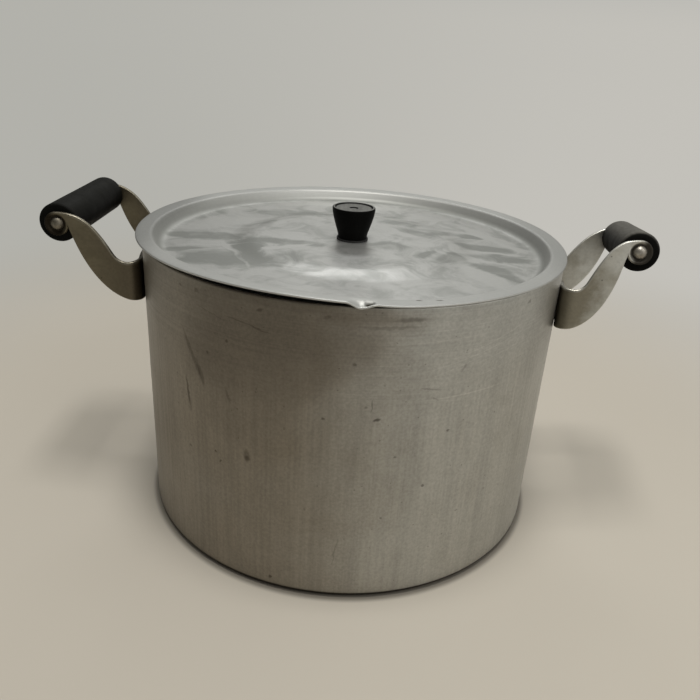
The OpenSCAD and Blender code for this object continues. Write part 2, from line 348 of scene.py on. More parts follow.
class Paint(Nodes):
    """The material of a piece."""

    def __init__(self, name, metallic=1.0):
        self.material = bpy.data.materials.new(name)
        self.material.use_nodes = True
        super().__init__(self.material.node_tree)
        self.shader = self.tree.nodes["Principled BSDF"]
        self.shader.inputs["Metallic"].default_value = metallic
        self.place = self.add("ShaderNodeTexCoord", out="Object")

    def stretch(self, scale, turn=(0, 0, 0)):
        """The place on the piece, multiplied along each axis and turned."""
        return self.add("ShaderNodeMapping", {"Vector": self.place, "Scale": scale, "Rotation": turn})

    def finish(self, colour, roughness, normal=None):
        self.feed(self.shader.inputs["Base Color"], colour)
        self.feed(self.shader.inputs["Roughness"], roughness)
        if normal is not None:
            self.feed(self.shader.inputs["Normal"], normal)
        return self.material


# Colours of the wall: tarnished and in painted shade, rubbed pale and in painted light, and in its deepest
# stains and painted shade
WALL_DARK, WALL_PALE, WALL_DEEP = (0.245, 0.220, 0.181), (0.445, 0.44, 0.41), (0.118, 0.099, 0.077)
WALL_SPOIL = (0.055, 0.042, 0.03)
# Painted shade on the heel, where it turns under towards the dark contact with the floor, and the heights
# that it fades between
WALL_HEEL_SHADE, HEEL_SHADE_FROM, HEEL_SHADE_TO = (0.03, 0.024, 0.016), 4.2 * MM, 2.8 * MM
# Between these heights the polish changes from up and down to round the wall
POLISH_FROM, POLISH_TO = 115 * MM, 150 * MM


def wall_plane(p):
    """Distance round the wall from the front, and height."""
    x, y, z = p.axes(p.place)
    turn = p.maths("ARCTAN2", x, p.maths("MULTIPLY", y, -1.0))
    return p.combine(p.maths("MULTIPLY", turn, POT_R), z), turn, z


# Marks on the wall: distance round from the front, height, length, width, turn, strength
WALL_STAINS = [
    (-88, 135, 30, 2.4, 118, 0.40), (-82, 127, 14, 2.6, 114, 0.45), (-93, 111, 19, 1.8, 99, 0.65),
    (-63, 119, 8, 1.6, 116, 0.35), (-51.5, 86, 7, 3.6, 96, 0.5), (-51, 84, 3, 2.6, 90, 0.35),
    (-72, 81, 1.8, 1.4, 0, 0.6), (-69, 76, 2.0, 1.2, 60, 0.6), (-63, 150, 1.8, 1.6, 0, 0.6),
    (-76, 140, 1.8, 1.4, 0, 0.5), (-93, 76, 2.0, 1.8, 0, 0.4), (-44, 171, 3.0, 2.0, 10, 0.5),
    (-10, 172, 4.0, 1.6, 0, 0.35), (-83, 172, 2.4, 1.8, 0, 0.35), (-96, 172, 2.0, 1.6, 0, 0.35),
    (-57, 163, 12, 0.8, -8, 0.35), (-45, 161, 12, 0.8, -12, 0.4), (-74, 163, 22, 0.7, -12, 0.22),
    (17, 118, 3.6, 1.5, 12, 0.85), (14, 126, 7, 0.7, 88, 0.5), (11, 125, 1.8, 1.4, 0, 0.4),
    (-10, 117, 1.6, 1.6, 0, 0.7), (4, 148, 1.8, 1.6, 0, 0.55), (28, 95, 1.6, 1.4, 0, 0.6),
    (57, 108, 2.2, 1.4, 15, 0.6), (46, 75, 2.0, 1.6, 10, 0.7), (0, 36, 12, 0.7, 78, 0.3),
    (-1, 28, 8, 0.7, 84, 0.25), (-37, 8, 2.2, 2.0, 0, 0.8), (104, 172, 2.6, 2.0, 0, 0.5),
    (30, 172, 14, 2.0, 2, 0.4), (20, 168, 30, 1.6, 1, 0.3), (44, 134, 10, 1.0, -10, 0.3),
    (62, 144, 5, 1.6, 60, 0.3), (70, 52, 1.8, 1.4, 0, 0.4), (-18, 60, 1.4, 1.4, 0, 0.35),
    (-30, 108, 1.4, 1.4, 0, 0.3), (24, 56, 1.4, 1.2, 0, 0.4), (90, 60, 1.6, 1.4, 0, 0.3),
    (47, 128, 5, 1.2, -20, 0.3), (150, 120, 2.0, 1.6, 0, 0.6), (-170, 60, 3.0, 1.6, 40, 0.6),
    (200, 90, 14, 1.0, 70, 0.5), (-240, 140, 20, 1.0, 12, 0.5), (320, 100, 2.4, 2.0, 0, 0.7),
    (-350, 60, 9, 1.0, 100, 0.5), (390, 150, 18, 1.0, -8, 0.4), (260, 40, 2.0, 1.6, 0, 0.6),
]
# Broad stains that darken the wall, partly painted shade at the upper left of the front and under the lid's
# edge, and rubbed patches that pale it, the strongest one at the upper right of the front a painted
# highlight
WALL_STAINS_AND_SHADE = [
    (-42, 157, 110, 40, 0, 0.78), (-62, 128, 60, 60, 70, 0.28), (-50, 100, 90, 60, 90, 0.22),
    (-6, 170, 150, 9, 0, 0.45), (-20, 120, 60, 60, 80, 0.2), (180, 150, 120, 40, 0, 0.5),
    (-230, 60, 100, 60, 30, 0.4), (330, 110, 90, 60, 80, 0.35), (-340, 150, 140, 30, 0, 0.4),
]
WALL_RUBBED_AND_HIGHLIGHT = [
    (66, 158, 66, 36, 4, 1.2), (58, 128, 50, 40, 20, 0.45), (72, 60, 60, 110, 0, 0.3),
    (30, 30, 60, 50, 0, 0.25), (-85, 165, 30, 26, 60, 0.2), (-90, 30, 40, 60, 0, 0.15),
    (240, 60, 90, 60, 20, 0.4), (-180, 110, 80, 70, 60, 0.3), (380, 60, 80, 70, 0, 0.3),
]
# Fine scratches that catch the light, painted lighter as glints
WALL_SCRATCH_GLINTS = [
    (66, 128, 44, 0.7, 1, 0.9), (54, 126, 16, 0.6, -8, 0.5), (70, 150, 62, 0.5, 12, 0.6),
    (82, 156, 50, 0.5, 14, 0.6), (60, 145, 40, 0.45, 16, 0.5), (88, 148, 44, 0.45, 10, 0.5),
    (48, 160, 60, 0.5, 2, 0.4), (36, 154, 50, 0.4, -3, 0.35), (76, 138, 34, 0.5, 8, 0.4),
    (58, 166, 50, 0.5, 3, 0.4), (92, 136, 30, 0.4, 18, 0.4), (20, 148, 40, 0.4, 3, 0.35),
    (72, 118, 30, 0.4, 22, 0.35), (-30, 40, 30, 0.4, 80, 0.3), (160, 90, 50, 0.5, 20, 0.5),
    (-200, 140, 60, 0.5, -6, 0.5), (300, 60, 40, 0.5, 30, 0.5),
]


def pot_aluminium():
    p = Paint("pot_aluminium")
    plane, turn, z = wall_plane(p)
    blotch = p.noise(p.place, 11, 3, 0.55)
    mottle = p.noise(p.place, 70, 4, 0.6)
    grain = p.noise(p.place, 640, 3, 0.6)
    upright = p.noise(p.stretch((560, 560, 16)), 1, 2, 0.55)
    bands = p.noise(p.stretch((70, 70, 2)), 1, 2, 0.5)
    level = p.noise(p.stretch((8, 8, 950)), 1, 3, 0.6)
    # The polish is drawn up and down, and round the wall near the top
    high = p.step(p.maths("ADD", z, p.step(blotch, 0.3, 0.7, -12 * MM, 12 * MM)), POLISH_FROM, POLISH_TO)
    lines = p.maths("ADD", p.maths("MULTIPLY", upright, p.maths("SUBTRACT", 1.0, high)),
                    p.maths("MULTIPLY", level, high))

    plane_rough = p.shaken(plane, 300, 2.2)
    stains = p.marks(plane_rough, WALL_STAINS, 0.5)
    # Broad stains, partly painted shade, and rubbed patches, partly a painted highlight, stored on the mesh
    stains_and_shade = p.attribute("stains_and_shade")
    rubbed_and_lit = p.attribute("rubbed_and_lit")
    scratch_glints = p.marks(plane, WALL_SCRATCH_GLINTS, 0.7)
    pits = p.spots(plane_rough, 260, 0.15, 0.2)

    # Darker and browner on the left side, paler on the right: tarnish, and painted shade where the room is
    # dimmer
    across = p.maths("SINE", turn)
    side = p.maths("ADD", across, p.step(blotch, 0.3, 0.7, -0.18, 0.18))
    pale = p.maths("ADD", p.step(side, -0.75, 0.85), p.maths("MULTIPLY", rubbed_and_lit, 0.5))
    pale = p.maths("SUBTRACT", pale, p.maths("MULTIPLY", stains_and_shade, 0.55), clamp=True)
    colour = p.mix(pale, WALL_DARK, WALL_PALE)
    # The strongest broad patches turn to the deepest tone: stains and painted shade
    deep = p.maths("MULTIPLY", p.maths("SUBTRACT", stains_and_shade, 0.3, clamp=True), 0.8)
    colour = p.mix(deep, colour, WALL_DEEP)
    colour = p.mix(p.maths("MULTIPLY", p.step(mottle, 0.42, 0.74), 0.13), colour, WALL_DEEP)
    shade = p.maths("ADD", p.step(lines, 0.3, 0.7, 0.96, 1.04), p.step(bands, 0.3, 0.7, -0.04, 0.04))
    shade = p.maths("MULTIPLY", shade, p.step(grain, 0.25, 0.75, 0.90, 1.10))
    # Painted highlight: the scratches lighten the colour as glints
    shade = p.maths("ADD", shade, p.maths("MULTIPLY", scratch_glints, 0.22))
    colour = p.scale(colour, shade)
    spoil = p.maths("ADD", stains, p.maths("MULTIPLY", pits, 0.4), clamp=True)
    colour = p.mix(p.maths("MULTIPLY", spoil, 0.75), colour, WALL_SPOIL)
    # Painted shade: the heel darkened where it turns under
    colour = p.mix(p.step(z, HEEL_SHADE_FROM, HEEL_SHADE_TO), colour, WALL_HEEL_SHADE)

    rough = p.maths("ADD", p.step(blotch, 0.3, 0.7, 0.42, 0.5), p.step(lines, 0.2, 0.8, 0.04, -0.04))
    rough = p.maths("ADD", rough, p.maths("MULTIPLY", spoil, 0.2), clamp=True)
    height = p.maths("ADD", p.maths("MULTIPLY", lines, 0.6), p.maths("MULTIPLY", grain, 0.4))
    height = p.maths("SUBTRACT", height, p.maths("MULTIPLY", pits, 0.5))
    return p.finish(colour, rough, p.bump(height, 0.08 * MM, 0.5))


# The inside: its colour below and above the line that boiling left, and in its stains and pits
INSIDE_LOW, INSIDE_HIGH = (0.40, 0.385, 0.35), (0.56, 0.555, 0.53)
INSIDE_STAIN, INSIDE_PIT = (0.30, 0.28, 0.24), (0.10, 0.09, 0.07)
WATER_FROM, WATER_TO = 112 * MM, 118 * MM


def pot_inside():
    p = Paint("pot_inside")
    x, y, z = p.axes(p.place)
    ripple = p.step(p.noise(p.place, 14, 3), 0.3, 0.7, -6 * MM, 6 * MM)
    above = p.step(p.maths("ADD", z, ripple), WATER_FROM, WATER_TO)
    mottle = p.noise(p.place, 38, 5, 0.6)
    rings = p.noise(p.stretch((6, 6, 900)), 1, 3, 0.6)
    radius = p.vector("LENGTH", p.combine(x, y), out=1)
    floor_rings = p.noise(p.combine(p.maths("MULTIPLY", radius, 900.0), 0.0), 1, 2, 0.6)
    lines = p.maths("ADD", p.maths("MULTIPLY", rings, 0.5), p.maths("MULTIPLY", floor_rings, 0.5))
    colour = p.mix(above, INSIDE_LOW, INSIDE_HIGH)
    colour = p.mix(p.maths("MULTIPLY", p.step(mottle, 0.45, 0.7), 0.4), colour, INSIDE_STAIN)
    colour = p.scale(colour, p.step(lines, 0.3, 0.7, 0.92, 1.08))
    pits = p.spots(p.place, 260, 0.2, 0.12)
    colour = p.mix(p.maths("MULTIPLY", pits, 0.7), colour, INSIDE_PIT)
    rough = p.step(mottle, 0.3, 0.7, 0.38, 0.52)
    return p.finish(colour, rough, p.bump(lines, 0.1 * MM, 0.4))


# Cloudy patches left by wiping the lid, as marks on its top: dull grey ones, then bright ones, whose thin
# radial streaks are painted highlights
LID_DULL = [
    (-111, -3, 14, 12, 13, 0.7), (-93, -5, 44, 14, -4, 0.75), (-101, -36, 26, 9, 18, 0.8),
    (-77, -52, 50, 26, 17, 0.85), (-64, -27, 20, 34, 12, 0.9), (-38, -15, 46, 12, -7, 0.75),
    (-48, 65, 60, 22, 1, 0.55), (-41, -48, 34, 20, 38, 0.6), (-57, 27, 24, 8, 69, 0.5),
    (-104, 48, 12, 50, -40, 0.35), (24, -12, 22, 16, -20, 0.6), (79, 32, 18, 12, -11, 0.75),
    (86, 4, 30, 15, -5, 0.8), (96, -17, 34, 18, 4, 0.75), (86, -46, 40, 12, -45, 0.75),
    (47, -23, 24, 8, 45, 0.6), (64, -26, 36, 10, 35, 0.6), (45, 23, 34, 12, -37, 0.55),
    (33, 48, 30, 14, -24, 0.45), (62, 30, 26, 10, 38, 0.5), (8, 78, 60, 16, 0, 0.35),
    (-6, 40, 34, 18, 10, 0.3), (10, -46, 50, 12, 6, 0.3), (104, 30, 16, 44, 30, 0.35),
]
LID_BRIGHT_AND_HIGHLIGHT = [
    (-89, 30, 52, 28, 40, 0.5), (-108, -52, 24, 16, -36, 0.6), (-69, -80, 20, 9, 11, 0.6),
    (-41, -25, 32, 5, 25, 0.8), (-68, -40, 48, 4, -62, 0.8), (-43, 2, 36, 18, -8, 0.4),
    (81, -60, 44, 12, -61, 0.6), (41, -2, 28, 12, -15, 0.45), (70, -14, 38, 8, -74, 0.6),
    (98, 26, 60, 12, -58, 0.5), (92, -7, 30, 3, -3, 0.6), (90, -30, 30, 3, -30, 0.5),
    (-84, -24, 40, 3, 8, 0.5), (0, 100, 90, 12, 0, 0.3), (20, 70, 50, 8, -12, 0.3),
]
# Two small nicks on the flange, to the right of the knock
LID_NICKS = [(34, -121, 3, 1.2, 5, 0.7), (44, -119, 3.4, 1.2, 8, 0.6)]
# The lid's colours: wiped clean, dull, and in its nicks and the painted shade of its torn pocket
LID_CLEAN, LID_GREY, LID_DIRT_AND_SHADE = (0.495, 0.495, 0.475), (0.255, 0.26, 0.242), (0.035, 0.03, 0.02)


def lid_aluminium():
    p = Paint("lid_aluminium", 0.75)
    flat = p.vector("SUBTRACT", p.vector("MULTIPLY", p.place, (1, 1, 0)), (LID_X, LID_Y, 0))
    radius = p.vector("LENGTH", flat, out=1)
    rings = p.noise(p.combine(p.maths("MULTIPLY", radius, 1100.0), 0.0), 1, 3, 0.6)
    fine = p.noise(p.place, 380, 3, 0.6)
    wisps = p.noise(p.shaken(flat, 22, 30), 46, 6, 0.62, 1.0)
    # The patches are on the upper side only, and inside the step
    upward = p.step(p.axes(p.add("ShaderNodeNewGeometry", out="True Normal"))[2], 0.2, 0.6)
    inner = p.step(radius, 120 * MM, 114 * MM)
    plane = p.shaken(p.shaken(flat, 24, 16), 75, 7)
    dull = p.marks(plane, LID_DULL, 0.4)
    # Bright wiped patches, with thin streaks that are painted highlights
    bright_and_highlight = p.marks(plane, LID_BRIGHT_AND_HIGHLIGHT, 0.45)
    cloud = p.maths("SUBTRACT", dull, bright_and_highlight)
    cloud = p.maths("ADD", cloud, p.step(wisps, 0.32, 0.68, -0.34, 0.38))
    cloud = p.step(cloud, -0.35, 0.85)
    # The flange and the step are evenly dull, the step more so
    even = p.step(radius, 124 * MM, 118.5 * MM, 0.35, 0.8)
    cloud = p.maths("MULTIPLY", p.mix(inner, p.combine(even, even, even), p.combine(cloud, cloud, cloud)),
                    upward)
    colour = p.mix(cloud, LID_CLEAN, LID_GREY)
    shade = p.maths("ADD", p.step(rings, 0.3, 0.7, 0.98, 1.02), p.step(fine, 0.3, 0.7, -0.02, 0.02))
    # Painted shade on the flange at both sides, more on the left
    x = p.axes(flat)[0]
    flange_side_shade = p.maths("ADD", p.step(x, -100 * MM, -124 * MM, 0.0, 0.32),
                    p.step(x, 105 * MM, 126 * MM, 0.0, 0.16))
    flange = p.step(radius, 118.5 * MM, 122.5 * MM)
    shade = p.maths("SUBTRACT", shade, p.maths("MULTIPLY", flange_side_shade, flange))
    colour = p.scale(colour, shade)
    # The torn pocket's painted shade, with the nicks added
    shade_and_dirt = p.attribute("shade_and_dirt")
    nicks = p.marks(p.shaken(flat, 300, 1.5), LID_NICKS, 0.6)
    shade_and_dirt = p.maths("ADD", shade_and_dirt, p.maths("MULTIPLY", nicks, upward), clamp=True)
    colour = p.mix(shade_and_dirt, colour, LID_DIRT_AND_SHADE)
    rough = p.maths("ADD", p.step(cloud, 0.0, 1.0, 0.37, 0.45), p.maths("MULTIPLY", shade_and_dirt, 0.3))
    rough = p.maths("ADD", rough, p.step(radius, 113 * MM, 118 * MM, 0.0, 0.12))
    height = p.maths("ADD", p.maths("MULTIPLY", rings, 0.7), p.maths("MULTIPLY", fine, 0.3))
    return p.finish(colour, rough, p.bump(height, 0.04 * MM, 0.4))


# The brackets: grime and painted shade near the wall, dirt and painted shade in the dishes and dirt in
# the pits, and the distances from the pot's axis over which the root's colour, grime and shade fade in
STRAP_GRIME_AND_SHADE, STRAP_DIRT_AND_SHADE = (0.05, 0.042, 0.03), (0.018, 0.014, 0.010)
ROOT_FROM, ROOT_TO = 160 * MM, 140 * MM
STRAP_GRIME_AND_SHADE_FROM, STRAP_GRIME_AND_SHADE_TO = 138 * MM, 132.5 * MM


def bracket_aluminium(name, body, stain, bright_and_highlight, root):
    """Stained sheet: root is the colour that it darkens to where it comes off the wall, dirt and painted
    shade.
    """
    p = Paint(name)
    flat = p.vector("MULTIPLY", p.place, (1, 1, 0))
    from_axis = p.vector("LENGTH", flat, out=1)
    mottle = p.noise(p.place, 70, 4, 0.6)
    grain = p.noise(p.place, 600, 3, 0.6)
    brush = p.noise(p.stretch((60, 60, 500), (0.9, 0, 0)), 1, 3, 0.6)
    broad = p.noise(p.place, 38, 3, 0.55)
    colour = p.mix(p.maths("MULTIPLY", p.step(mottle, 0.42, 0.7), 0.7), body, stain)
    colour = p.mix(p.maths("MULTIPLY", p.step(broad, 0.45, 0.68), 0.5), colour, root)
    # Dirt and painted shade: darker towards the root's colour near the wall
    ragged = p.step(mottle, 0.3, 0.7, -6 * MM, 6 * MM)
    colour = p.mix(p.step(p.maths("ADD", from_axis, ragged), ROOT_FROM, ROOT_TO), colour, root)
    # Grime and painted shade where the strap meets the wall
    ragged = p.step(mottle, 0.3, 0.7, -1 * MM, 1 * MM)
    grime_and_shade = p.step(p.maths("ADD", from_axis, ragged), STRAP_GRIME_AND_SHADE_FROM, STRAP_GRIME_AND_SHADE_TO)
    colour = p.mix(p.maths("MULTIPLY", grime_and_shade, 0.35), colour, STRAP_GRIME_AND_SHADE)
    # Painted highlight: the strap's edges lighten towards bright
    edge = p.attribute("edge")
    colour = p.mix(p.maths("MULTIPLY", edge, p.step(mottle, 0.25, 0.6, 0.65, 0.25)), colour, bright_and_highlight)
    shade = p.maths("ADD", p.step(brush, 0.3, 0.7, 0.98, 1.02), p.step(grain, 0.3, 0.7, -0.05, 0.05))
    colour = p.scale(colour, shade)
    # Dirt and painted shade in the rod's dish and round the tip, with real pits and rust
    shade_and_dirt = p.attribute("shade_and_dirt")
    rust = p.maths("MULTIPLY", p.spots(p.place, 110, 0.11, 0.2), 0.6)
    pits = p.maths("ADD", p.maths("MULTIPLY", p.spots(p.place, 330, 0.2, 0.12), 0.5), rust)
    shade_and_dirt = p.maths("MULTIPLY", shade_and_dirt, p.step(mottle, 0.25, 0.6, 1.0, 0.93))
    shade_and_dirt = p.maths("ADD", shade_and_dirt, pits, clamp=True)
    colour = p.mix(shade_and_dirt, colour, STRAP_DIRT_AND_SHADE)
    rough = p.maths("ADD", p.step(mottle, 0.3, 0.7, 0.38, 0.5), p.maths("MULTIPLY", shade_and_dirt, 0.15))
    height = p.maths("ADD", p.maths("MULTIPLY", brush, 0.5), p.maths("MULTIPLY", grain, 0.5))
    return p.finish(colour, rough, p.bump(height, 0.08 * MM, 0.4))


def dull_metal(name, light, dark, rough, metallic=1.0):
    p = Paint(name, metallic)
    mottle = p.noise(p.place, 160, 4, 0.6)
    grain = p.noise(p.place, 900, 3, 0.6)
    colour = p.mix(p.step(mottle, 0.35, 0.68), light, dark)
    colour = p.scale(colour, p.step(grain, 0.25, 0.75, 0.9, 1.1))
    return p.finish(colour, p.step(mottle, 0.3, 0.7, rough - 0.06, rough + 0.08),
                    p.bump(grain, 0.06 * MM, 0.4))


def bakelite(name, body, worn, rough, gloss, start=0.0, dust_over=None):
    """Near-black moulded plastic. worn is the tone of its upward faces, above height dust_over: wear, with
    a painted sheen from above.
    """
    p = Paint(name, 0.0)
    up = p.axes(p.add("ShaderNodeTexCoord", out="Normal"))[2]
    mottle = p.noise(p.place, 90, 4, 0.6)
    grain = p.noise(p.place, 800, 3, 0.6)
    streaks = p.noise(p.stretch((500, 60, 500)), 1, 3, 0.6)
    # Wear and painted sheen on the upward faces
    rubbed_and_lit = p.maths("MULTIPLY", p.step(up, start, 1.0), p.step(mottle, 0.3, 0.6, 0.7, 1.0))
    if dust_over is not None:
        rubbed_and_lit = p.maths("MULTIPLY", rubbed_and_lit, p.step(p.axes(p.place)[2], dust_over, dust_over + 0.5 * MM))
    colour = p.mix(rubbed_and_lit, body, worn)
    colour = p.scale(colour, p.step(streaks, 0.3, 0.7, 0.85, 1.15))
    p.shader.inputs["Specular IOR Level"].default_value = gloss
    height = p.maths("ADD", p.maths("MULTIPLY", streaks, 0.5), p.maths("MULTIPLY", grain, 0.5))
    return p.finish(colour, p.step(mottle, 0.3, 0.7, rough - 0.05, rough + 0.1),
                    p.bump(height, 0.08 * MM, 0.35))


# The backdrop's colours at the left and right, and the floor's, plain and just round the base
BACKDROP_LEFT, BACKDROP_RIGHT = (0.445, 0.44, 0.405), (0.545, 0.53, 0.49)
FLOOR_TONE, FLOOR_SHADOW = (0.54, 0.497, 0.425), (0.10, 0.085, 0.065)
# Distances from the pot's axis between which the floor fades into the backdrop, and its shadow ends
FLOOR_FADE = (0.26, 0.75)
SHADOW_FADE = (POT_R + 4.5 * MM, POT_R + 0.5 * MM)


def backdrop(nodes, x):
    """The backdrop's colour in a direction, dimmer on the left."""
    return nodes.mix(nodes.step(x, -0.5, 0.5), BACKDROP_LEFT, BACKDROP_RIGHT)


def floor_paint():
    """A pale floor that fades into the backdrop some way from the pot."""
    p = Paint("pale_floor", 0.0)
    tone = p.noise(p.place, 3, 2, 0.5)
    away = p.vector("LENGTH", p.place, out=1)
    colour = p.mix(p.step(tone, 0.3, 0.7), FLOOR_TONE, tuple(1.03 * c for c in FLOOR_TONE))
    under = p.step(away, *SHADOW_FADE, 0.0, 0.7)
    p.finish(p.mix(under, colour, FLOOR_SHADOW), 0.65)
    p.shader.inputs["Specular IOR Level"].default_value = 0.25
    side = p.axes(p.vector("NORMALIZE", p.place))[0]
    far = p.add("ShaderNodeEmission", {"Color": backdrop(p, side)})
    shader = p.add("ShaderNodeMixShader", {0: p.step(away, *FLOOR_FADE), 1: p.shader.outputs[0], 2: far})
    p.tree.links.new(shader, p.tree.nodes["Material Output"].inputs["Surface"])
    return p.material


# ---------------------------------------------------------------- pieces

def dented(p):
    """Soft waves in the pot's wall, none at the base or the rim."""
    out = Vector((p.x, p.y, 0))
    if out.length < POT_R - 12 * MM:
        return p
    amount = smooth(p.z, 4 * MM, 25 * MM) * smooth(p.z, POT_H, POT_H - 20 * MM)
    wave = BROAD_WAVE * noise.noise(p * 17) + FINE_WAVE * noise.noise(p * 60)
    return p + out.normalized() * wave * amount


def patches_at(p, patches):
    """How strong a list of patches is at a point on the wall, its outline made ragged by noise."""
    length = 2 * math.pi * POT_R / MM
    shift = noise.noise_vector(p * 14) * 20 + noise.noise_vector(p * 60) * 5
    x = math.atan2(p.x, -p.y) * POT_R / MM + shift.x
    y = p.z / MM + shift.y
    total = 0.0
    for round_x, height, long, wide, turn, strength in patches:
        a = math.radians(turn)
        dx, dy = (x - round_x + length / 2) % length - length / 2, y - height
        u = (dx * math.cos(a) + dy * math.sin(a)) / (long / 2)
        v = (dy * math.cos(a) - dx * math.sin(a)) / (wide / 2)
        total += strength * smooth(math.hypot(u, v), 1.8, 0.2)
    return total


def mark_points(piece, name, values):
    """Stores one number for each vertex, which the piece's material reads."""
    mark = piece.data.attributes.new(name, "FLOAT", "POINT")
    mark.data.foreach_set("value", [float(v) for v in values])


def make_pot():
    inner_r = POT_R - WALL
    inner_heel = HEEL_R - WALL
    profile = [(0, 0.0), (POT_R - HEEL_R, 0.0)]
    profile += arc(POT_R - HEEL_R, HEEL_R, HEEL_R, -90, 0, 12)[1:]
    profile += arc(POT_R - RIM_ROUND, POT_H - RIM_ROUND, RIM_ROUND, 0, 90, 6)
    profile += arc(inner_r + RIM_ROUND, POT_H - RIM_ROUND, RIM_ROUND, 90, 180, 6)
    profile += arc(inner_r - inner_heel, BASE_T + inner_heel, inner_heel, 0, -90, 10)
    profile += [(0, BASE_T)]
    pot = lathe("pot_shell", dense(profile, 5 * MM), all_round(POT_STEPS), dented)
    mark_points(pot, "stains_and_shade", [patches_at(v.co, WALL_STAINS_AND_SHADE) for v in pot.data.vertices])
    mark_points(pot, "rubbed_and_lit", [patches_at(v.co, WALL_RUBBED_AND_HIGHLIGHT) for v in pot.data.vertices])
    pot.data.materials.append(pot_aluminium())
    pot.data.materials.append(pot_inside())
    for face in pot.data.polygons:
        c = face.center
        inside = math.hypot(c.x, c.y) < POT_R - WALL * 0.6 and c.z > BASE_T * 0.9
        face.material_index = 1 if inside else 0
    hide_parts("pot_body")
    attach(pot, "pot")


def lid_profile():
    bend = 1.5 * MM
    outer_bend = bend + LID_T
    bends = outer_bend + STEP_FOOT_R
    step_r = LID_R - FLANGE_W
    dish_z = FLANGE_Z - DISH_DEPTH
    crown_z = dish_z + CROWN_H
    slant = math.radians(STEP_SLOPE)
    run = (DISH_DEPTH - bends * (1 - math.cos(slant))) / math.tan(slant)
    foot = (step_r - bends * math.sin(slant) - run, dish_z + STEP_FOOT_R)
    out, third, edge = CROWN_R + CROWN_SLOPE, CROWN_SLOPE / 3, LID_T / 2
    slope = curve((out, dish_z), (out - third, dish_z), (CROWN_R + third, crown_z), (CROWN_R, crown_z), 16)
    under = [(r, z - LID_T) for r, z in reversed(slope)]
    upper = arc(LID_R - edge, FLANGE_Z - edge, edge, 0, 90, 5)
    upper += dense([upper[-1], (step_r, FLANGE_Z)], 1.2 * MM)[1:-1]
    upper += arc(step_r, FLANGE_Z - outer_bend, outer_bend, 90, 90 + STEP_SLOPE, 10)
    upper += arc(foot[0], foot[1], STEP_FOOT_R, STEP_SLOPE - 90, -90, 12)
    upper += slope + [(SCREW_HOLE_R, crown_z)]
    lower = [(SCREW_HOLE_R, crown_z - LID_T)] + under
    lower += arc(foot[0], foot[1], STEP_FOOT_R + LID_T, -90, STEP_SLOPE - 90, 12)
    lower += arc(step_r, FLANGE_Z - outer_bend, bend, 90 + STEP_SLOPE, 90, 8)
    lower += dense([lower[-1], (LID_R - edge, FLANGE_Z - LID_T)], 1.2 * MM)[1:-1]
    lower += arc(LID_R - edge, FLANGE_Z - edge, edge, -90, 0, 5)[:-1]
    return dense(upper, 4 * MM) + dense(lower, 4 * MM)


def lid_shape(p):
    """The flange turned up and sprung, and its edge folded down and torn by a knock."""
    r = math.hypot(p.x, p.y)
    turn = math.degrees(math.atan2(p.y, p.x))
    away = abs((turn - WARP_TURN + 180) % 360 - 180)
    rise = WARP_RISE * smooth(away, WARP_SPREAD, 0) * smooth(r, WARP_FROM_R, LID_R)
    if turn > WARP_TURN:
        rise *= smooth(turn, SPRING_TO, SPRING_FROM)
    flat = smooth(abs(turn - FLAT_TURN), FLAT_SPREAD + FLAT_FADE, FLAT_SPREAD)
    rise += EDGE_RISE * (1 - FLATNESS * flat) * smooth(r, LID_R - EDGE_W, LID_R)
    sag = SAG * noise.noise(Vector((p.x, p.y, 0)) * 14) * smooth(r, 10 * MM, 40 * MM)
    along, inward = knock_place(p)
    if abs(along) < 14 and inward < 9:
        fold = min(smooth(along, -8.5, -0.8), smooth(along, 8.0, -0.8)) ** 1.2
        rise -= KNOCK_DEPTH * fold * smooth(inward, 5.5, 0.2)
        rise -= POCKET_DEPTH * pocket(along, inward)
        crumple = smooth(abs(along), 9, 2) * smooth(inward, 6, 1)
        rise += CRUMPLE * crumple * noise.noise(Vector((along * 0.45, inward * 0.6, 3.1)))
    return p + Vector((0, 0, rise + sag))


def knock_place(p):
    """Millimetres along the lid's edge from the knock, and in from the edge."""
    r = math.hypot(p.x, p.y)
    turn = math.degrees(math.atan2(p.y, p.x))
    return math.radians(turn - KNOCK_TURN) * r / MM, (LID_R - r) / MM


def pocket(along, inward):
    """1 in the small torn pocket beside the knock's lowest point."""
    return smooth(abs(along - 3.4), 3.0, 1.2) * smooth(abs(inward - 2.4), 1.7, 0.5)


def make_lid():
    angles = all_round(LID_STEPS, KNOCK_TURN, KNOCK_SPAN, KNOCK_STEPS)
    place = Matrix.Translation((LID_X, LID_Y, 0))
    lid = lathe("lid_sheet", lid_profile(), angles, lid_shape, closed=True, place=place)
    # Painted shade: the torn pocket is stored to be painted dark
    shade_and_dirt = [pocket(*knock_place(v.co - Vector((LID_X, LID_Y, 0)))) for v in lid.data.vertices]
    mark_points(lid, "shade_and_dirt", shade_and_dirt)
    lid.data.materials.append(lid_aluminium())
    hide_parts("lid_panel")
    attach(lid, "lid")


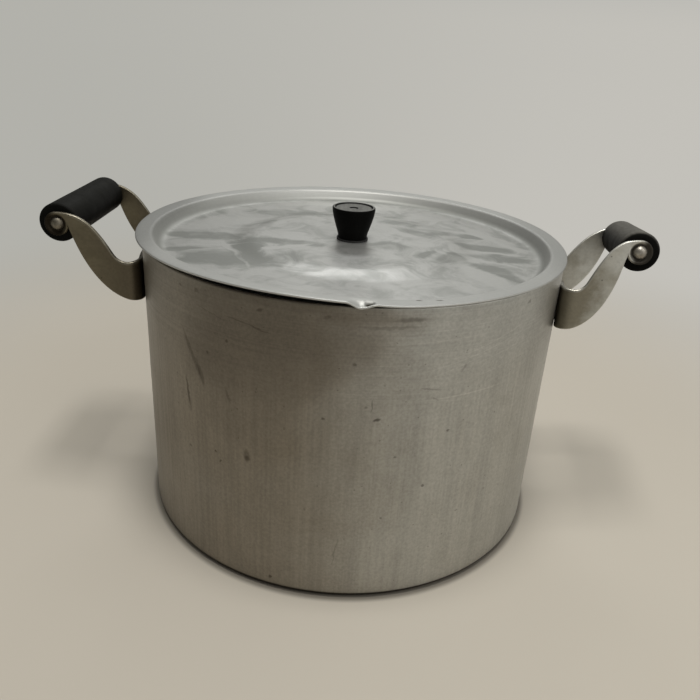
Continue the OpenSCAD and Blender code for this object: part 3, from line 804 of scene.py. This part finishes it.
def make_knob(paint):
    h = KNOB_TOP - KNOB_BASE
    edge, top_dish, mark_r, mark_depth = 0.7 * MM, 0.8 * MM, 2.6 * MM, 0.7 * MM
    floor_z = KNOB_TOP - top_dish
    profile = [(0, KNOB_BASE), (NECK_R - 0.4 * MM, KNOB_BASE)]
    profile += arc(NECK_R - 0.4 * MM, KNOB_BASE + 0.4 * MM, 0.4 * MM, -90, 0, 4)[1:]
    profile += curve((NECK_R, KNOB_BASE + 0.1 * h), (NECK_R + 1.4 * MM, KNOB_BASE + 0.35 * h),
                     (KNOB_R - 0.2 * MM, KNOB_BASE + 0.7 * h), (KNOB_R, KNOB_TOP - edge), 24)
    profile += arc(KNOB_R - edge, KNOB_TOP - edge, edge, 0, 90, 6)[1:]
    profile += curve((KNOB_R - 1.3 * MM, KNOB_TOP), (KNOB_R - 1.8 * MM, KNOB_TOP),
                     (KNOB_R - 1.8 * MM, floor_z), (KNOB_R - 3 * MM, floor_z), 8)
    profile += [(mark_r + 0.5 * MM, floor_z)]
    profile += curve((mark_r + 0.3 * MM, floor_z), (mark_r, floor_z), (mark_r, floor_z - mark_depth),
                     (mark_r - 0.4 * MM, floor_z - mark_depth), 6)
    profile += [(0, floor_z - mark_depth)]
    place = Matrix.Translation((LID_X, LID_Y, 0))
    knob = lathe("knob_body", dense(profile, 2 * MM), all_round(SMALL_STEPS), place=place)
    knob.data.materials.append(paint)
    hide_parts("lid_knob")
    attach(knob, "lid")


def handle_matrix(side, turn, twist, drop):
    """From a handle drawn at +X to where it is fixed on the pot."""
    return (
        Matrix.Rotation(math.radians(side + turn), 4, "Z")
        @ Matrix.Translation((0, 0, PLATE_MID - drop))
        @ Matrix.Rotation(math.radians(twist), 4, "X")
        @ Matrix.Translation((0, 0, -PLATE_MID))
    )


def share(x, start, end):
    """0 before start, 1 past end, in a straight line between."""
    return min(1.0, max(0.0, (x - start) / (end - start)))


def bent(p, lift, push):
    """Bends an ear up about its root and pushes its tip out from the wall."""
    a = math.radians(lift * share(p.x, POT_R, TIP_X))
    x, z = p.x - POT_R, p.z - PLATE_MID
    return Vector((POT_R + x * math.cos(a) - z * math.sin(a) + push * share(p.x, BEND_X, TIP_X), p.y,
                   PLATE_MID + x * math.sin(a) + z * math.cos(a)))


def ear_at(fx, fz):
    """A point of the ear's outline, as shares of its reach and rise."""
    return (POT_R + fx * REACH, PLATE_Z + fz * RISE)


def strap_stations():
    """Half of the strap, from the middle of its plate to the tip of its rear ear.
    Each station is the lower and upper point of its middle surface, and that surface's normal."""
    crown = curve(ear_at(-0.24, 0.63), ear_at(-0.11, 0.55), ear_at(0.14, 0.45), ear_at(0.26, 0.65), 30)
    crown += curve(ear_at(0.26, 0.65), ear_at(0.45, 0.95), (ROD_X - 16 * MM, ROD_Z + TIP_R + 0.4 * MM),
                   (ROD_X, ROD_Z + TIP_R), 40)[1:]
    top = arc(ROD_X, ROD_Z, TIP_R, 82, -49, 28)
    belly = curve((ROD_X - TIP_R, ROD_Z), (ROD_X - 8 * MM, ROD_Z - 8 * MM),
                  ear_at(0.5, -0.12), ear_at(-0.24, 0), 60)[::-1]
    bottom = arc(ROD_X, ROD_Z, TIP_R, 180, 311, 28)
    crown = [p for p in crown if p[0] < top[0][0] - 0.1 * MM]

    mid_r = PLATE_IN + STRAP_T / 2
    bend_turn = math.degrees(math.atan2(BEND_Y, BEND_X))
    bend_r = STRAP_BEND + STRAP_T / 2
    plan = [(mid_r * math.cos(a), mid_r * math.sin(a), math.cos(a), math.sin(a))
            for a in [math.radians(bend_turn * i / 16) for i in range(16)]]
    for i in range(15):
        a = math.radians(180 + bend_turn - (90 + bend_turn) * i / 14)
        plan.append((BEND_X + bend_r * math.cos(a), BEND_Y + bend_r * math.sin(a),
                     -math.cos(a), -math.sin(a)))
    stations = []
    for x, y, nx, ny in plan:
        low, high = height_at(belly, x), height_at(crown, x)
        stations.append((Vector((x, y, low)), Vector((x, y, high)), Vector((nx, ny, 0))))
    start = plan[-1][0]
    neck_low = [(start, height_at(belly, start))] + [p for p in belly if p[0] > start + 0.2 * MM]
    neck_high = [(start, height_at(crown, start))] + [p for p in crown if p[0] > start + 0.2 * MM]
    neck_high += [top[0]]
    pairs = list(zip(resample(neck_low, 64), resample(neck_high, 64)))[1:]
    pairs += list(zip(bottom, top))[1:-1]
    for low, high in pairs:
        ends = [Vector((x, EAR_MID, z)) for x, z in (low, high)]
        stations.append((*ends, Vector((0, -1, 0))))
    return stations


def section(low, high, normal, skew, across=20):
    """Points round the strap at one station, with how near each is to an edge, painted as a highlight, and
    to the rod's dish.
    skew is the slope of the dish's floor, from the wall outwards."""
    width = (high - low).length
    along = (high - low) / width
    half, soft = STRAP_T / 2, min(STRAP_EDGE, width * 0.49)
    spans = [soft + (width - 2 * soft) * i / across for i in range(across + 1)]
    ring = [(s, half, 0) for s in spans]
    ring += [(x, n, 1) for x, n in arc(width - soft, half - soft, soft, 90, 0, 4)[1:]]
    ring += [(x, n, 1) for x, n in arc(width - soft, soft - half, soft, 0, -90, 4)]
    ring += [(s, -half, 0) for s in reversed(spans[:-1])]
    ring += [(x, n, 1) for x, n in arc(soft, soft - half, soft, -90, -180, 4)[1:]]
    ring += [(x, n, 1) for x, n in arc(soft, half - soft, soft, 180, 90, 4)[:-1]]
    points = []
    for s, n, edge in ring:
        p = low + along * s
        dish = 0.0
        if n < 0:
            dish = smooth(math.hypot(p.x - ROD_X, p.z - ROD_Z), DISH_R + 0.2 * MM, DISH_FLOOR_R)
            n += (DISH_CUT + skew * (p.x - ROD_X)) * dish
        # The tip's edge keeps the painted highlight only where it faces up, and gets painted shade and dirt
        # elsewhere round the tip
        turn = math.degrees(math.atan2(p.z - ROD_Z, p.x - ROD_X))
        if p.x > ROD_X - TIP_R:
            edge *= smooth(turn, 35, 100)
            dish = max(dish, smooth(turn, 100, 50) * smooth(p.x, ROD_X - TIP_R, ROD_X - 2 * MM))
        points.append((p + normal * n, edge, dish))
    return points


def make_bracket(name, paint):
    place = handle_matrix(**PLACES[name])
    lift, front_push, rear_push = BENDS[name]
    skew = (rear_push - front_push) / (2 * EAR_MID)
    stations = strap_stations()
    front = [section(*s, -skew) for s in stations]
    rear = [section(*s, skew) for s in stations]
    rings = [[(bent(Vector((p.x, -p.y, p.z)), lift, front_push), e, d) for p, e, d in ring]
             for ring in front[:0:-1]]
    rings += [[(bent(p, lift, rear_push), e, d) for p, e, d in ring] for ring in rear]
    verts, edge_highlights, dishes, rows = [], [], [], []
    for ring in rings:
        rows.append(list(range(len(verts), len(verts) + len(ring))))
        verts += [place @ p for p, _, _ in ring]
        edge_highlights += [e for _, e, _ in ring]
        dishes += [d for _, _, d in ring]
    faces = bridge(rows) + [tuple(rows[0]), tuple(reversed(rows[-1]))]
    strap = make_mesh(name + "_strap", verts, faces, 50)
    mark_points(strap, "edge", edge_highlights)
    mark_points(strap, "shade_and_dirt", dishes)
    strap.data.materials.append(paint)
    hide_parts(name + "_bracket")
    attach(strap, "pot")


def make_grip(name, paint):
    hinge = HINGES[name + "_grip"]
    axis = Vector(hinge["axis"]).normalized()
    turn = axis.to_track_quat("Z", "X").to_matrix().to_4x4()
    place = Matrix.Translation(hinge["pos_m"]) @ turn
    middle = Vector(hinge["pos_m"])
    half = max((v.co - middle).dot(axis) for v in frame["nodes"][name + "_grip"].data.vertices)
    edge = 1.4 * MM
    profile = [(ROD_BORE_R, -half), (GRIP_R - edge, -half)]
    profile += arc(GRIP_R - edge, -half + edge, edge, -90, 0, 6)[1:]
    profile += arc(GRIP_R - edge, half - edge, edge, 0, 90, 6)
    profile += [(ROD_BORE_R, half)]

    def worn(p):
        wave = GRIP_WEAR * noise.noise(Vector((p.x * 90, p.y * 90, p.z * 40)))
        return p + Vector((p.x, p.y, 0)).normalized() * (wave - GRIP_WEAR)

    profile = dense(profile, 3 * MM)
    grip = lathe(name + "_grip_body", profile, all_round(SMALL_STEPS), worn, True, place)
    grip.data.materials.append(paint)
    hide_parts(name + "_grip")
    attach(grip, name + "_grip")


def paint_nodes(paint, *names):
    """Gives CAD nodes whose shape is right a better material."""
    for name in names:
        slots = frame["nodes"][name].data.materials
        if not slots:
            slots.append(paint)
        for slot in frame["nodes"][name].material_slots:
            slot.link = "OBJECT"
            slot.material = paint


# ---------------------------------------------------------------- staging

# The floor's rings: how wide and how many. It lies just under the pot's base.
FLOOR_RING, FLOOR_RINGS, FLOOR_Z = 0.25, 40, -0.02 * MM


def make_floor():
    rings = [(FLOOR_RING * i, 0.0) for i in range(FLOOR_RINGS + 1)]
    floor = lathe("floor", rings, all_round(SMALL_STEPS))
    floor.data.materials.append(floor_paint())
    floor.location.z = FLOOR_Z


# The room's tones: the front left and right, the back left and right, and the ceiling
ROOM_DIM, ROOM_BRIGHT = (0.09, 0.083, 0.07), (0.84, 0.83, 0.80)
ROOM_BACK_LEFT, ROOM_BACK = (0.21, 0.21, 0.20), (0.46, 0.46, 0.435)
ROOM_CEILING = (0.42, 0.42, 0.40)


def make_world():
    """A room seen as soft tones: pale at the back and above, dim at the front left."""
    world = bpy.data.worlds.new("studio")
    bpy.context.scene.world = world
    world.use_nodes = True
    n = Nodes(world.node_tree)
    background = n.tree.nodes["Background"]
    x, y, z = n.axes(n.add("ShaderNodeTexCoord", out="Generated"))
    front = n.mix(n.step(x, -0.3, 0.85), ROOM_DIM, ROOM_BRIGHT)
    back = n.mix(n.step(x, -0.36, 0.04), ROOM_BACK_LEFT, ROOM_BACK)
    walls = n.mix(n.step(y, -0.35, 0.35), front, back)
    room = n.mix(n.step(z, 0.35, 0.9), walls, ROOM_CEILING)
    colour = n.mix(n.step(z, 0.02, 0.12), backdrop(n, x), room)
    n.feed(background.inputs["Color"], colour)
    background.inputs["Strength"].default_value = 1.0


def softbox(name, place, aim, size, power, colour):
    """A rectangular lamp at place that faces aim. size is in metres, power in watts."""
    light = bpy.data.lights.new(name, "AREA")
    light.shape = "RECTANGLE"
    light.size, light.size_y = size
    light.energy = power
    light.color = colour
    obj = bpy.data.objects.new(name, light)
    bpy.context.scene.collection.objects.link(obj)
    obj.location = place
    obj.rotation_euler = (Vector(aim) - Vector(place)).to_track_quat("-Z", "Y").to_euler()


def make_lights():
    softbox("overhead", (0.0, -0.2, 1.45), (0, 0, 0.08), (0.36, 0.36), 10, (1, 0.985, 0.96))
    softbox("window", (0.85, -0.85, 1.2), (0, 0, 0.1), (0.5, 0.4), 2.6, (1, 0.99, 0.98))
    softbox("back_lamp", (-0.02, 1.2, 1.27), (0, 0, 0.17), (0.55, 0.26), 2.5, (0.98, 0.99, 1))


# The camera, as solved from the pot's outline: metres, degrees and the lens in mm
CAMERA_PLACE = (0, -0.4272, 0.2925)
CAMERA_PITCH, CAMERA_YAW, CAMERA_ROLL = 24.65, 0.25, 3.6
CAMERA_LENS, CAMERA_SENSOR = 35.23, 36


def make_camera():
    data = bpy.data.cameras.new("camera")
    data.sensor_width = CAMERA_SENSOR
    data.lens = CAMERA_LENS
    camera = bpy.data.objects.new("camera", data)
    bpy.context.scene.collection.objects.link(camera)
    camera.matrix_world = (
        Matrix.Translation(CAMERA_PLACE)
        @ Matrix.Rotation(math.radians(-CAMERA_YAW), 4, "Z")
        @ Matrix.Rotation(math.radians(90 - CAMERA_PITCH), 4, "X")
        @ Matrix.Rotation(math.radians(CAMERA_ROLL), 4, "Z")
    )
    bpy.context.scene.camera = camera


# ---------------------------------------------------------------- the scene

make_camera()
make_world()
make_lights()
make_floor()
bpy.context.scene.view_settings.view_transform = "Standard"

make_pot()
make_lid()
make_knob(bakelite("knob_bakelite", (0.002, 0.002, 0.0016), (0.145, 0.145, 0.135), 0.5, 0.06,
                   0.9, KNOB_TOP - 3 * MM))
# The left strap is tarnished and also painted darker as shade, the right one painted lighter as lit
make_bracket("left", bracket_aluminium("left_strap_tarnished_shaded_paint", (0.17, 0.147, 0.10), (0.13, 0.112, 0.075),
                                       (0.36, 0.34, 0.285), (0.12, 0.102, 0.072)))
make_bracket("right", bracket_aluminium("right_strap_lit_paint", (0.60, 0.59, 0.54), (0.46, 0.44, 0.38),
                                        (0.66, 0.65, 0.60), (0.25, 0.225, 0.17)))
# The right grip's upward faces get a grey painted sheen, the left one's almost none
make_grip("left", bakelite("left_grip_shaded_paint", (0.0025, 0.0025, 0.002), (0.008, 0.008, 0.0065), 0.6, 0.07))
make_grip("right", bakelite("right_grip_lit_paint", (0.0025, 0.0025, 0.002), (0.11, 0.105, 0.092), 0.6, 0.07,
                            0.1))

RIVETS = [f"{side}_rivet_{v}_{h}" for side in PLACES for v in ("upper", "lower") for h in ("front", "rear")]
paint_nodes(dull_metal("rivet_paint", (0.42, 0.40, 0.35), (0.28, 0.25, 0.20), 0.42), *RIVETS)
# The left rod is painted darker as shaded, the right one lighter as lit
paint_nodes(dull_metal("left_rod_shaded_paint", (0.22, 0.20, 0.165), (0.13, 0.115, 0.085), 0.42), "left_rod")
paint_nodes(dull_metal("right_rod_lit_paint", (0.42, 0.40, 0.355), (0.27, 0.24, 0.20), 0.42), "right_rod")
paint_nodes(dull_metal("rubber_paint", (0.02, 0.02, 0.02), (0.012, 0.012, 0.012), 0.7, 0.0), "knob_collar")
paint_nodes(dull_metal("zinc_paint", (0.60, 0.60, 0.58), (0.48, 0.47, 0.44), 0.3),
            "knob_screw", "screw_washer")
paint_nodes(dull_metal("brass_paint", (0.70, 0.53, 0.26), (0.50, 0.36, 0.17), 0.32), "knob_insert")
